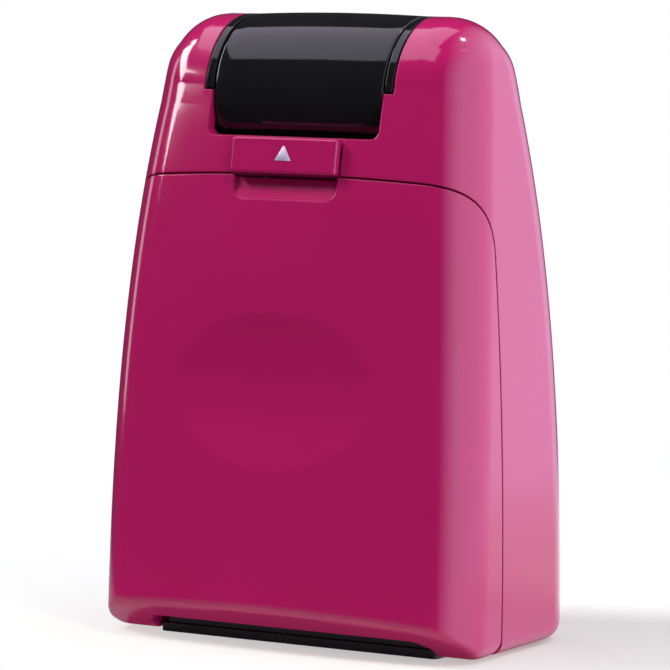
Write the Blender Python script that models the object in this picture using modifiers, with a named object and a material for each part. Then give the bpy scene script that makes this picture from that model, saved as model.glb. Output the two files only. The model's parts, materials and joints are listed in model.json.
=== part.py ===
"""Handheld privacy roller stamp: a magenta two-piece housing around a stamp roller.

A black hood turns backwards on an axle near the top. Two link rods carry its turn down to a curved
shutter, which swings clear of the stamp roller at the bottom. The roller takes ink from a felt roller above
it. A spring-loaded black foot slides up when the stamp is pressed down, so that the roller meets the paper.
A latch at the top of the front holds the front door, which tips forward on two pins to show the rollers.

Metres, +Z up, the front faces -Y. The foot's underside is z = 0. Lengths below are in millimetres and all
shapes are built above the housing's own underside, which the root empty lifts by FOOT_DROP.
"""

import math

import bmesh
import bpy
from mathutils import Matrix, Vector
from mathutils.geometry import convex_hull_2d

MM = 0.001

GAP = 0.3                       # running clearance between neighbouring pieces

# Housing: sections are rounded rectangles with bowed long sides, narrowing towards a round top.
HOUSING_HEIGHT = 88.6
HALF_WIDTH = 31.0
WALL = 1.8
CORNER_RADIUS = 7.0
BOW = 3.0                       # how far the front and the back bulge at mid-width
SHOULDER_RADIUS = 7.0
BOTTOM_INSET = 2.1              # how far the sides draw in at the very bottom
BOTTOM_INSET_HEIGHT = 2.0
CHAMFER_HEIGHT = 5.8
CHAMFER_DEPTH = 9.7

TOP_CENTRE_Y = 1.9
TOP_CENTRE_Z = 76.4
TOP_RADIUS = 12.2
TANGENT_ANGLE = 10.0            # above level, where the round top meets the flanks

# Hood: everything that turns at the top shares this axis.
HOOD_AXIS_Y = 2.3
HOOD_AXIS_Z = 76.9
PANEL_RADIUS = 12.0
STRIP_RADIUS = 11.7
HOOD_REAR_ANGLE = -36.0         # both from +Y towards +Z
HOOD_FRONT_ANGLE = 212.0
PANEL_THICKNESS = 0.9
SKIN_THICKNESS = 0.8            # of the carrier under the panel and of the fixed dome inside it
SKIN_RADIUS = PANEL_RADIUS - PANEL_THICKNESS - GAP
PANEL_HALF_WIDTH = 13.9
STRIP_INNER = 14.25
STRIP_OUTER = 15.4
OPENING_WIDE = 15.7             # half-width of the opening above the ledges
OPENING_NARROW = 14.2
LEDGE_HEIGHT = 78.1
OPENING_BOTTOM = 71.8
REAR_OPENING_BOTTOM = 71.2

# Front door: its edge in side view runs down and back from the seam, round a corner, then down the side.
SEAM_HEIGHT = 66.7
SEAM_FRONT_Y = -12.9
SEAM_FALL = 0.45
SIDE_SEAM_Y = -5.4
SIDE_SEAM_LEAN = 1.7 / 88.6
DOOR_CORNER_RADIUS = 10.0
DOOR_PIVOT_Y = -8.4
DOOR_PIVOT_Z = 3.0

# Latch: a raised tab in a pocket of the band between the seam and the hood opening.
LATCH_HALF_WIDTH = 8.65
LATCH_HEIGHT = 5.0
LATCH_MID_Z = 69.2
LATCH_PROUD = 0.85
LATCH_LEAN = 10.0

# Rollers and shutter, on the line of the roller axis.
ROLLER_Z = 8.8
ROLLER_RADIUS = 8.0
ROLLER_HALF_WIDTH = 18.0
INK_RADIUS = 6.0
INK_Z = ROLLER_Z + ROLLER_RADIUS + GAP + INK_RADIUS
SHUTTER_RADIUS = 9.1
SHUTTER_THICKNESS = 0.75
SHUTTER_HALF_ANGLE = 33.0
CRANK_RADIUS = 5.0
CRANK_ANGLE = 35.0              # above level at rest, on the back side
FOOT_DROP = 0.5

# Layers across the width, as (inner, outer) distances from the middle.
CHEEK_LAYER = (18.3, 19.5)
ARM_LAYER = (19.8, 20.8)
ROD_LAYER = (21.1, 22.0)
SIDE_PLATE_LAYER = (22.3, 23.5)
TIES = ((-3.0, 57.0), (11.5, 30.0))

FINISHES = {
    "magenta": ((0.46, 0.006, 0.105), 0.25, 0.0),
    "black_gloss": ((0.010, 0.010, 0.011), 0.12, 0.0),
    "black_satin": ((0.018, 0.018, 0.020), 0.38, 0.0),
    "grey_plastic": ((0.10, 0.10, 0.11), 0.45, 0.0),
    "steel": ((0.60, 0.60, 0.62), 0.28, 1.0),
    "rubber": ((0.035, 0.033, 0.036), 0.75, 0.0),
    "felt": ((0.012, 0.012, 0.020), 0.95, 0.0),
}

for old in list(bpy.data.objects):
    bpy.data.objects.remove(old)

PARTS = bpy.data.collections.new("privacy_roller_stamp")
CUTTERS = bpy.data.collections.new("cutters")
bpy.context.scene.collection.children.link(PARTS)
bpy.context.scene.collection.children.link(CUTTERS)

ROOT = bpy.data.objects.new("stamp_root", None)
ROOT.location.z = FOOT_DROP * MM
PARTS.objects.link(ROOT)


# ---------------------------------------------------------------- helpers

def material(name):
    """One Principled material per finish, made on first use."""
    found = bpy.data.materials.get(name)
    if found:
        return found
    colour, roughness, metallic = FINISHES[name]
    made = bpy.data.materials.new(name)
    made.use_nodes = True
    shader = made.node_tree.nodes["Principled BSDF"]
    shader.inputs["Base Color"].default_value = (*colour, 1.0)
    shader.inputs["Roughness"].default_value = roughness
    shader.inputs["Metallic"].default_value = metallic
    return made


def place(obj, finish, location=(0.0, 0.0, 0.0)):
    """Put a new object in the parts collection, or among the cutters when it has no finish."""
    for collection in list(obj.users_collection):
        collection.objects.unlink(obj)
    obj.parent = ROOT
    obj.location = Vector(location) * MM
    if finish:
        PARTS.objects.link(obj)
        obj.data.materials.clear()
        obj.data.materials.append(material(finish))
        obj.data.set_sharp_from_angle(angle=math.radians(32.0))
    else:
        CUTTERS.objects.link(obj)
        obj.hide_render = True
        obj.display_type = "WIRE"
    return obj


def from_bmesh(name, bm, finish, location=(0.0, 0.0, 0.0)):
    mesh = bpy.data.meshes.new(name)
    bmesh.ops.recalc_face_normals(bm, faces=bm.faces)
    bm.to_mesh(mesh)
    bm.free()
    mesh.shade_smooth()
    return place(bpy.data.objects.new(name, mesh), finish, location)


def box(name, low, high, finish=None, location=(0.0, 0.0, 0.0)):
    """A block between two corners, given in millimetres about its location."""
    bm = bmesh.new()
    bmesh.ops.create_cube(bm, size=1.0)
    size = (Vector(high) - Vector(low)) * MM
    middle = (Vector(high) + Vector(low)) * 0.5 * MM
    placed = Matrix.Translation(middle) @ Matrix.Diagonal((*size, 1.0))
    bmesh.ops.transform(bm, matrix=placed, verts=bm.verts)
    return from_bmesh(name, bm, finish, location)


def rod_x(name, radius, x_range, y, z, finish=None, segments=28):
    """A round bar along X, with its origin on its own axis."""
    bm = bmesh.new()
    length = (x_range[1] - x_range[0]) * MM
    bmesh.ops.create_cone(bm, cap_ends=True, segments=segments, radius1=radius * MM, radius2=radius * MM,
                          depth=length)
    turn = Matrix.Rotation(math.radians(90.0), 4, "Y")
    bmesh.ops.transform(bm, matrix=turn, verts=bm.verts)
    return from_bmesh(name, bm, finish, ((x_range[0] + x_range[1]) / 2, y, z))


def circle(y, z, radius, count=24):
    return [(y + radius * math.cos(2 * math.pi * k / count), z + radius * math.sin(2 * math.pi * k / count))
            for k in range(count)]


def arc(y, z, radius, start, end, count=12):
    """Points on an arc; angles in degrees from +Y towards +Z."""
    steps = [math.radians(start + (end - start) * k / count) for k in range(count + 1)]
    return [(y + radius * math.cos(a), z + radius * math.sin(a)) for a in steps]


def hull(*groups):
    """The convex outline around several groups of points."""
    points = [p for group in groups for p in group]
    return [points[i] for i in convex_hull_2d(points)]


def flat_part(name, outline, layer, finish=None, holes=(), location=(0.0, 0.0, 0.0), upright=True):
    """A flat outline with a thickness: a YZ outline spread along X, or an XY outline spread along Z."""
    curve = bpy.data.curves.new(name, "CURVE")
    curve.dimensions = "2D"
    curve.fill_mode = "BOTH"
    curve.extrude = (layer[1] - layer[0]) / 2 * MM
    for loop in (outline, *holes):
        spline = curve.splines.new("POLY")
        spline.points.add(len(loop) - 1)
        spline.use_cyclic_u = True
        for point, (u, v) in zip(spline.points, loop):
            point.co = (u * MM, v * MM, 0.0, 1.0)
    source = bpy.data.objects.new(name + "_outline", curve)
    CUTTERS.objects.link(source)
    bpy.context.view_layer.update()
    evaluated = source.evaluated_get(bpy.context.evaluated_depsgraph_get())
    mesh = bpy.data.meshes.new_from_object(evaluated)
    bpy.data.objects.remove(source)
    middle = (layer[0] + layer[1]) / 2 * MM
    if upright:
        stand = Matrix(((0, 0, 1, middle), (1, 0, 0, 0), (0, 1, 0, 0), (0, 0, 0, 1)))
    else:
        stand = Matrix.Translation((0, 0, middle))
    bm = bmesh.new()
    bm.from_mesh(mesh)
    bpy.data.meshes.remove(mesh)
    bmesh.ops.remove_doubles(bm, verts=bm.verts, dist=1e-7)
    bmesh.ops.transform(bm, matrix=stand, verts=bm.verts)
    return from_bmesh(name, bm, finish, location)


def turned_x(name, profile, finish, location, angle=360.0, start=0.0, steps=32, thickness=0.0):
    """A profile of (x, radius) points turned about the X axis; an open sheet gets a thickness inwards."""
    mesh = bpy.data.meshes.new(name)
    points = [(radius * MM, 0.0, x * MM) for x, radius in profile]
    closed = thickness == 0.0 and profile[0][1] > 0.0
    edges = [(k, k + 1) for k in range(len(points) - 1)]
    if closed:
        edges.append((len(points) - 1, 0))
    mesh.from_pydata(points, edges, [])
    obj = place(bpy.data.objects.new(name, mesh), finish, location)
    obj.rotation_euler = (0.0, math.radians(90.0), 0.0)
    obj.rotation_euler.rotate_axis("Z", math.radians(start))
    screw = obj.modifiers.new("turn", "SCREW")
    screw.angle = math.radians(angle)
    screw.steps = steps
    screw.render_steps = steps
    screw.use_merge_vertices = angle == 360.0
    screw.merge_threshold = 1e-6
    screw.use_smooth_shade = True
    if thickness:
        solid = obj.modifiers.new("thickness", "SOLIDIFY")
        solid.thickness = thickness * MM
        solid.offset = -1.0
    return obj


def combine(obj, operation, *others):
    for other in others:
        modifier = obj.modifiers.new(operation.lower(), "BOOLEAN")
        modifier.operation = operation
        modifier.solver = "EXACT"
        modifier.object = other


def mirrored(build, *args):
    """Build a right-hand piece and its left-hand twin; build takes a side name and a sign."""
    return build("right", 1.0, *args), build("left", -1.0, *args)


def span(layer, sign):
    """A layer's X range on one side of the middle, in rising order."""
    return tuple(sorted((layer[0] * sign, layer[1] * sign)))


# ---------------------------------------------------------------- housing

def half_width(z):
    t = z / HOUSING_HEIGHT
    width = HALF_WIDTH + 0.74 * t - 5.58 * t ** 2 - 0.77 * t ** 4
    rise = max(0.0, z - (HOUSING_HEIGHT - SHOULDER_RADIUS))
    width -= SHOULDER_RADIUS - math.sqrt(SHOULDER_RADIUS ** 2 - min(rise, SHOULDER_RADIUS) ** 2)
    low = max(0.0, 1.0 - z / BOTTOM_INSET_HEIGHT)
    return width - BOTTOM_INSET * (1.0 - math.sqrt(1.0 - low * low))


def tangent_height():
    return TOP_CENTRE_Z + TOP_RADIUS * math.sin(math.radians(TANGENT_ANGLE))


def centre_y(z):
    t = min(z / HOUSING_HEIGHT, 1.0)
    if z > tangent_height():
        return TOP_CENTRE_Y
    return 2.6 * t - 0.5 * t * t


def half_depth(z):
    """Half the depth at mid-width, the bow included."""
    if z > tangent_height():
        return math.sqrt(max(TOP_RADIUS ** 2 - (z - TOP_CENTRE_Z) ** 2, 0.0))
    t = z / HOUSING_HEIGHT
    return 16.6 + BOW - 2.4 * t - 2.9 * t ** 2 - 5.0 * t ** 4


def bow(z):
    left = (HOUSING_HEIGHT - z) / (HOUSING_HEIGHT - TOP_CENTRE_Z)
    return BOW * math.sqrt(min(max(left, 0.0), 1.0))


def section(z, wall):
    """One level section of the housing, drawn in by the wall, as points going round."""
    a = half_width(z) - wall
    b = half_depth(z) - wall - bow(z)
    b = max(b, 0.4)
    r = min(CORNER_RADIUS - wall, 0.95 * a, 0.95 * b)
    points = []
    for quarter in range(4):
        turn = 90.0 * quarter
        sx = 1.0 if quarter in (0, 3) else -1.0
        sy = 1.0 if quarter < 2 else -1.0
        points += arc(sx * (a - r), sy * (b - r), r, turn, turn + 90.0, 6)
        if quarter in (0, 2):
            run = [k / 9 for k in range(1, 9)]
            points += [(sx * (a - r) * (1.0 - 2.0 * s), sy * b) for s in run]
    bowed = [(x, math.copysign(abs(y) + bow(z) * (1.0 - (x / a) ** 2), y)) for x, y in points]
    return [(x, y + centre_y(z), z) for x, y in bowed]


def housing_solid(name, wall, bottom, finish=None):
    """The housing's outer form, or the hollow inside it when a wall is given."""
    top = HOUSING_HEIGHT
    low = [bottom, 0.25, 0.6, 1.2, 2.0, 6.0, 12.0, 20.0, 30.0, 40.0, 49.0, 57.0, 64.0, 70.0, 74.5]
    turn = [math.radians(a) for a in (TANGENT_ANGLE, 20.0, 30.0, 40.0, 50.0, 60.0, 70.0, 80.0, 85.0)]
    levels = sorted({z for z in low if z >= bottom} | {bottom})
    levels += [TOP_CENTRE_Z + (top - TOP_CENTRE_Z) * math.sin(a) for a in turn]
    bm = bmesh.new()
    rings = []
    for z in levels:
        drop = wall * min(max(0.0, z / TOP_CENTRE_Z), 1.0) ** 6
        rings.append([bm.verts.new((x * MM, y * MM, (h - drop) * MM)) for x, y, h in section(z, wall)])
    for lower, upper in zip(rings, rings[1:]):
        for k in range(len(lower)):
            nxt = (k + 1) % len(lower)
            bm.faces.new((lower[k], lower[nxt], upper[nxt], upper[k]))
    bm.faces.new(rings[0])
    bm.faces.new(rings[-1])
    return from_bmesh(name, bm, finish)


def chamfer_wedge(name, side, wall):
    """A block whose sloping face cuts the lower front or back edge; side is -1 for the front."""
    base = half_depth(0.0)
    slope = math.hypot(CHAMFER_DEPTH, CHAMFER_HEIGHT)
    inward = wall * slope / CHAMFER_HEIGHT
    reach = 3.0
    start = (base - CHAMFER_DEPTH * (1.0 + reach) - inward, -CHAMFER_HEIGHT * reach)
    end = (base + CHAMFER_DEPTH * reach - inward, CHAMFER_HEIGHT * (1.0 + reach))
    outline = [start, end, (end[0] + 30.0, start[1] - 5.0), (start[0], start[1] - 5.0)]
    return flat_part(name, [(side * y, z) for y, z in outline], (-40.0, 40.0))


def front_y(z):
    """Y of the housing's front at mid-width."""
    return centre_y(z) - half_depth(z)


def housing_shell(name, finish, hollow, wedges):
    """The hollow housing before it is split into shell and door."""
    shell = housing_solid(name, 0.0, 0.0, finish)
    combine(shell, "DIFFERENCE", *wedges, hollow)
    return shell


def door_region(name, gap, rounded):
    """Side-view region of the door, spread across the whole width; gap grows or shrinks it."""
    fall = math.atan(SEAM_FALL)
    side_y = SIDE_SEAM_Y + gap
    lean = SIDE_SEAM_LEAN
    corner_z = SEAM_HEIGHT - SEAM_FALL * (side_y + lean * 60.0 - SEAM_FRONT_Y) + gap / math.cos(fall)
    corner_y = side_y + lean * corner_z
    radius = DOOR_CORNER_RADIUS + gap
    tangent = radius * math.tan((math.pi / 2 - fall) / 2)
    centre = (corner_y - radius, corner_z - tangent)
    far_y = -45.0
    outline = [(far_y, corner_z + SEAM_FALL * (corner_y - far_y))]
    outline += arc(*centre, radius, 90.0 - math.degrees(fall), 0.0, 10)
    if rounded:
        outline += arc(DOOR_PIVOT_Y, DOOR_PIVOT_Z, side_y - DOOR_PIVOT_Y, 0.0, -90.0, 8)
        outline += [(DOOR_PIVOT_Y, -10.0), (far_y, -10.0)]
    else:
        outline += [(side_y, 0.0), (side_y, -10.0), (far_y, -10.0)]
    return flat_part(name, outline, (-40.0, 40.0))


def rounded_rect(x, y, half_x, half_y, radius, count=5):
    points = []
    for quarter, (sx, sy) in enumerate(((1, 1), (-1, 1), (-1, -1), (1, -1))):
        points += arc(x + sx * (half_x - radius), y + sy * (half_y - radius), radius,
                      90.0 * quarter, 90.0 * quarter + 90.0, count)
    return points


def hood_openings():
    """The opening in the top: narrow in front below the ledges, wide above them and at the back."""
    reach = 20.0
    outline = rounded_rect(0.0, 0.0, OPENING_NARROW, reach, 1.2)
    narrow = flat_part("opening_narrow", outline, (0.0, 30.0), upright=False)
    narrow.rotation_euler = (math.radians(90.0), 0.0, 0.0)
    narrow.location = Vector((0.0, HOOD_AXIS_Y, OPENING_BOTTOM + reach)) * MM
    side = (-OPENING_WIDE, OPENING_WIDE)
    wide = box("opening_wide", (side[0], -40.0, LEDGE_HEIGHT), (side[1], 40.0, 100.0))
    rear = box("opening_rear", (side[0], HOOD_AXIS_Y, REAR_OPENING_BOTTOM), (side[1], 40.0, 100.0))
    drum = rod_x("panel_clearance", PANEL_RADIUS + GAP, (-OPENING_NARROW, OPENING_NARROW),
                 HOOD_AXIS_Y, HOOD_AXIS_Z, segments=72)
    outline = arc(HOOD_AXIS_Y, HOOD_AXIS_Z, STRIP_RADIUS + GAP, -100.0, 100.0, 36)
    outline += arc(HOOD_AXIS_Y, HOOD_AXIS_Z, SKIN_RADIUS + GAP, 100.0, 260.0, 30)
    strips = flat_part("strip_clearance", outline, (side[0] - GAP, side[1] + GAP))
    return drum, strips, narrow, wide, rear


def latch_pocket():
    """The shallow pocket that the latch slides in, and the slot through its floor for the latch's stem."""
    pocket = box("latch_pocket", (-LATCH_HALF_WIDTH - GAP, -4.0, -8.0), (LATCH_HALF_WIDTH + GAP, 0.9, 8.0))
    slot = box("latch_slot", (-3.3, -4.0, -2.3), (3.3, 6.0, 1.3))
    for cutter in (pocket, slot):
        cutter.rotation_euler.x = -math.radians(LATCH_LEAN)
        cutter.location = Vector((0.0, front_y(LATCH_MID_Z), LATCH_MID_Z)) * MM
    return pocket, slot


def finger_recess():
    """The scoop in the door's top edge, deepest under the latch."""
    low = SEAM_HEIGHT - 3.7
    outline = [(x, y + 9.0) for x, y in rounded_rect(0.0, 0.0, 8.6, 9.0, 2.6)]
    scoop = flat_part("finger_recess", outline, (0.0, 8.0), upright=False)
    scoop.rotation_euler.x = math.radians(90.0 - 26.0)
    scoop.location = Vector((0.0, front_y(low) + 0.25, low)) * MM
    return scoop


def thumb_dimple():
    """A wide, very shallow oval hollow in the door, cut by a flat ellipsoid."""
    depth, middle_z = 1.1, 35.4
    semi = Vector((111.0, 20.0, 33.8))
    bm = bmesh.new()
    bmesh.ops.create_uvsphere(bm, u_segments=96, v_segments=56, radius=1.0)
    bmesh.ops.transform(bm, matrix=Matrix.Diagonal((*(semi * MM), 1.0)), verts=bm.verts)
    dimple = from_bmesh("thumb_dimple", bm, None, (0.0, front_y(middle_z) + depth - semi.y, middle_z))
    dimple.rotation_euler.x = -math.radians(4.5)
    return dimple


def hinge_ear(name, sign):
    """An ear of the rear shell that carries a door pin."""
    pin = (DOOR_PIVOT_Y, DOOR_PIVOT_Z)
    outline = hull(circle(*pin, 1.9), [(2.0, 1.0), (2.0, 4.5), (-2.0, 9.0), (-4.5, 9.0), (-4.5, 1.0)])
    return flat_part(name, outline, span((25.2, 26.8), sign), holes=[circle(*pin, 1.3)])


def door_lug(name, sign):
    """The door's side of the hinge: a ring that grows out of its side wall."""
    pin = (DOOR_PIVOT_Y, DOOR_PIVOT_Z)
    return flat_part(name, circle(*pin, 2.6, 22), span((27.25, 29.8), sign), holes=[circle(*pin, 1.3, 14)])


def build_housing():
    hollow = housing_solid("hollow", WALL, WALL)
    steps = (chamfer_wedge("front_step", -1.0, WALL), chamfer_wedge("rear_step", 1.0, WALL))
    combine(hollow, "DIFFERENCE", *steps)
    wedges = (chamfer_wedge("front_wedge", -1.0, 0.0), chamfer_wedge("rear_wedge", 1.0, 0.0))
    foot_hole = box("foot_opening", (-23.5, -14.1, -5.0), (23.5, 10.4, 12.0))

    shell = housing_shell("rear_shell", "magenta", hollow, wedges)
    combine(shell, "DIFFERENCE",
            door_region("door_space", GAP / 2, False), *hood_openings(), *latch_pocket(),
            foot_hole)
    combine(shell, "UNION", *(hinge_ear("hinge_ear", sign) for sign in (1.0, -1.0)))

    door = housing_shell("front_door", "magenta", hollow, wedges)
    clearances = [box("ear_slot", (x_range[0], -10.7, -2.0), (x_range[1], -4.0, 6.0))
                  for x_range in (span((24.9, 27.1), 1.0), span((24.9, 27.1), -1.0))]
    combine(door, "INTERSECT", door_region("door_form", -GAP / 2, True))
    combine(door, "DIFFERENCE", foot_hole, finger_recess(), thumb_dimple(), *clearances)
    combine(door, "UNION", *(door_lug("door_lug", sign) for sign in (1.0, -1.0)))
    move_origin(door, (0.0, DOOR_PIVOT_Y, DOOR_PIVOT_Z))

    for side, sign in (("right", 1.0), ("left", -1.0)):
        rod_x("door_pin_" + side, 1.0, span((24.9, 29.0), sign), DOOR_PIVOT_Y, DOOR_PIVOT_Z, "steel", 20)


def move_origin(obj, point):
    """Put an object's origin on its joint's axis without moving its shape."""
    shift = Vector(point) * MM
    obj.data.transform(Matrix.Translation(-shift))
    obj.location = shift


def build_latch():
    """The raised tab, its stem through the slot and the hook that hangs behind the door's top edge."""
    half = LATCH_HEIGHT / 2
    place_at = (0.0, front_y(LATCH_MID_Z), LATCH_MID_Z)
    tab = box("latch", (-LATCH_HALF_WIDTH, -LATCH_PROUD, -half), (LATCH_HALF_WIDTH, 0.6, half), "magenta",
              place_at)
    bevel = tab.modifiers.new("soft_edges", "BEVEL")
    bevel.width = 0.45 * MM
    bevel.segments = 3
    stem = box("latch_stem", (-3.0, 0.1, -2.0), (3.0, 2.7, -0.6), None, place_at)
    hook = box("latch_hook", (-5.0, 2.4, -3.9), (5.0, 2.9, -0.6), None, place_at)
    combine(tab, "UNION", stem, hook)
    for piece in (tab, stem, hook):
        piece.rotation_euler.x = -math.radians(LATCH_LEAN)


# ---------------------------------------------------------------- hood and linkage

def build_hood():
    axis = (0.0, HOOD_AXIS_Y, HOOD_AXIS_Z)
    rear, front = HOOD_REAR_ANGLE, HOOD_FRONT_ANGLE
    panel = [(PANEL_HALF_WIDTH, PANEL_RADIUS), (-PANEL_HALF_WIDTH, PANEL_RADIUS)]
    turned_x("hood_panel", panel, "black_gloss", axis, front - rear, 90.0 + rear, 60, PANEL_THICKNESS)

    edge = STRIP_INNER + 0.6
    carrier = turned_x("hood_carrier", [(edge, SKIN_RADIUS), (-edge, SKIN_RADIUS)], "black_satin", axis,
                       front - rear, 90.0 + rear, 48, SKIN_THICKNESS)
    strip_end = 180.0 - math.degrees(math.asin((LEDGE_HEIGHT + GAP - HOOD_AXIS_Z) / STRIP_RADIUS))
    outline = arc(0.0, 0.0, STRIP_RADIUS, rear, strip_end, 40)
    outline += arc(0.0, 0.0, SKIN_RADIUS, strip_end, front, 8) + arc(0.0, 0.0, 3.4, front, 324.0, 10)
    for name, sign in (("strip_right", 1.0), ("strip_left", -1.0)):
        strip = flat_part(name, outline, span((STRIP_INNER, STRIP_OUTER), sign), None,
                          [circle(0, 0, 1.8)], axis)
        combine(carrier, "UNION", strip)

    rod_x("hood_axle", 1.5, (-23.5, 23.5), HOOD_AXIS_Y, HOOD_AXIS_Z, "steel")


def crank_pin(y, z):
    """Where a crank's pin stands at rest, for an axle at (y, z)."""
    turn = math.radians(CRANK_ANGLE)
    return y + CRANK_RADIUS * math.cos(turn), z + CRANK_RADIUS * math.sin(turn)


def build_linkage(side, sign):
    """Hood crank, link rod and both crank pins on one side."""
    axis = (0.0, HOOD_AXIS_Y, HOOD_AXIS_Z)
    pin = crank_pin(0.0, 0.0)
    crank = flat_part("hood_crank_" + side, hull(circle(0, 0, 3.4), circle(*pin, 1.9)),
                      span(ARM_LAYER, sign), "black_satin", [circle(0, 0, 1.8), circle(*pin, 1.1)], axis)
    sleeve = flat_part("crank_sleeve", circle(0, 0, 3.2), span((15.7, 20.0), sign), None,
                       [circle(0, 0, 1.85)], axis)
    combine(crank, "UNION", sleeve)

    upper = crank_pin(HOOD_AXIS_Y, HOOD_AXIS_Z)
    lower = crank_pin(0.0, ROLLER_Z)
    drop = (lower[0] - upper[0], lower[1] - upper[1])
    flat_part("link_rod_" + side, hull(circle(0, 0, 1.6), circle(*drop, 1.6)), span(ROD_LAYER, sign),
              "black_satin", [circle(0, 0, 1.1), circle(*drop, 1.1)], (0.0, *upper))
    for level, (y, z) in (("upper", upper), ("lower", lower)):
        rod_x(f"crank_pin_{level}_{side}", 0.8, span((19.8, 22.05), sign), y, z, "steel", 16)


def build_shutter():
    """The curved cover under the stamp roller, with its two arms."""
    axis = (0.0, 0.0, ROLLER_Z)
    edge = ARM_LAYER[0] + 0.5
    sheet = [(edge, SHUTTER_RADIUS), (-edge, SHUTTER_RADIUS)]
    shutter = turned_x("shutter", sheet, "black_satin", axis, 2 * SHUTTER_HALF_ANGLE, -SHUTTER_HALF_ANGLE,
                       20, SHUTTER_THICKNESS)
    pin = crank_pin(0.0, 0.0)
    rim = arc(0.0, 0.0, SHUTTER_RADIUS - 0.02, -90.0 - SHUTTER_HALF_ANGLE, -90.0 + SHUTTER_HALF_ANGLE, 16)
    outline = hull(circle(0, 0, 3.0), circle(*pin, 1.9), rim)
    for name, sign in (("arm_right", 1.0), ("arm_left", -1.0)):
        arm = flat_part(name, outline, span(ARM_LAYER, sign), None,
                        [circle(0, 0, 1.5), circle(*pin, 1.1)], axis)
        combine(shutter, "UNION", arm)
    for side, sign in (("right", 1.0), ("left", -1.0)):
        rod_x("shutter_pivot_" + side, 1.2, span((19.8, 22.0), sign), 0.0, ROLLER_Z, "steel", 20)


# ---------------------------------------------------------------- inner frame

def build_frame():
    """Two side plates and two tie bars that hold the hood's axle and the shutter inside the housing."""
    outline = hull(circle(-5.0, 8.8, 2.5), circle(5.0, 8.8, 2.5), circle(*TIES[1], 2.8),
                   circle(-5.0, 30.0, 3.0), circle(*TIES[0], 3.0), circle(HOOD_AXIS_Y, HOOD_AXIS_Z, 3.2))
    holes = [circle(HOOD_AXIS_Y, HOOD_AXIS_Z, 1.8)] + [circle(*tie, 1.1) for tie in TIES]
    for side, sign in (("right", 1.0), ("left", -1.0)):
        flat_part("side_plate_" + side, outline, span(SIDE_PLATE_LAYER, sign), "grey_plastic", holes)
    for level, (y, z) in zip(("upper", "lower"), TIES):
        tie = rod_x("frame_tie_" + level, 2.0, (-22.0, 22.0), y, z, "grey_plastic", 24)
        for side, sign in (("right", 1.0), ("left", -1.0)):
            combine(tie, "DIFFERENCE", rod_x("tie_bore", 1.1, span((16.0, 24.0), sign), y, z, None, 16))
            head_to_tip = [(25.0, 0.0), (25.0, 2.0), (23.8, 2.0), (23.8, 0.8), (17.0, 0.8), (17.0, 0.0)]
            profile = [(sign * (x - 21.0), r) for x, r in head_to_tip]
            if sign < 0:
                profile.reverse()
            turned_x(f"frame_screw_{level}_{side}", profile, "steel", (sign * 21.0, y, z), steps=16)


def build_inner_dome():
    """A fixed cover on the hood's axle that closes the front of the opening when the hood is turned back."""
    radius = SKIN_RADIUS - SKIN_THICKNESS - GAP
    ends = hull(circle(0, 0, 3.4), arc(0, 0, radius - SKIN_THICKNESS / 2, 126.0, 214.0, 12))
    axis = (0.0, HOOD_AXIS_Y, HOOD_AXIS_Z)
    dome = turned_x("inner_dome", [(13.4, radius), (-13.4, radius)], "black_satin", axis, 90.0, 215.0, 24,
                    SKIN_THICKNESS)
    for name, sign in (("dome_end_right", 1.0), ("dome_end_left", -1.0)):
        end = flat_part(name, ends, span((12.8, 13.9), sign), None, [circle(0, 0, 1.8)], axis)
        combine(dome, "UNION", end)


def build_cartridge():
    """The cradle that holds the stamp roller with the ink roller above it."""
    holes = [circle(0.0, ROLLER_Z, 1.9), circle(0.0, INK_Z, 1.9)]
    outline = hull(circle(0.0, ROLLER_Z, 5.2), circle(-4.0, 33.0, 2.2), circle(4.0, 33.0, 2.2))
    for side, sign in (("right", 1.0), ("left", -1.0)):
        flat_part("cartridge_cheek_" + side, outline, span(CHEEK_LAYER, sign), "grey_plastic", holes)
    bar = box("cartridge_bar", (-18.0, -3.6, 31.6), (18.0, 3.6, 34.6), "grey_plastic")
    bevel = bar.modifiers.new("soft_edges", "BEVEL")
    bevel.width = 0.5 * MM
    bevel.segments = 2


def tube_x(name, inner, outer, half_length, z, finish):
    """A hollow roller layer about the X axis."""
    profile = [(half_length, inner), (half_length, outer), (-half_length, outer), (-half_length, inner)]
    return turned_x(name, profile, finish, (0.0, 0.0, z), steps=40)


def build_rollers():
    stamp_split, ink_split = 6.3, 3.7
    tube_x("stamp_core", 1.9, stamp_split - GAP / 2, ROLLER_HALF_WIDTH - 0.1, ROLLER_Z, "grey_plastic")
    tube_x("stamp_sleeve", stamp_split + GAP / 2, ROLLER_RADIUS, ROLLER_HALF_WIDTH, ROLLER_Z, "rubber")
    tube_x("ink_core", 1.9, ink_split - GAP / 2, ROLLER_HALF_WIDTH - 0.1, INK_Z, "grey_plastic")
    tube_x("ink_felt", ink_split + GAP / 2, INK_RADIUS, ROLLER_HALF_WIDTH - 0.5, INK_Z, "felt")
    for name, z in (("stamp_axle", ROLLER_Z), ("ink_axle", INK_Z)):
        rod_x(name, 1.6, (-CHEEK_LAYER[1], CHEEK_LAYER[1]), 0.0, z, "steel", 24)


def build_foot():
    """The black foot that the stamp stands on: a low rim with a thinner wall above, open in the middle.

    Notches in the short walls leave room for the link rods when the foot is pressed in with the shutter open.
    """
    rim = flat_part("foot", rounded_rect(0, 0, 23.2, 10.0, 1.0), (-FOOT_DROP, 0.8), "black_satin",
                    upright=False)
    wall = flat_part("foot_wall", rounded_rect(0, 0, 22.6, 9.5, 0.8), (0.2, 3.5), upright=False)
    hole = flat_part("foot_hole", rounded_rect(0, 0, 21.3, 8.7, 0.6), (-3.0, 6.0), upright=False)
    notches = box("rod_notches", (-24.0, 1.9, 1.6), (24.0, 7.2, 6.0))
    combine(rim, "UNION", wall)
    combine(rim, "DIFFERENCE", hole, notches)


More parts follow.
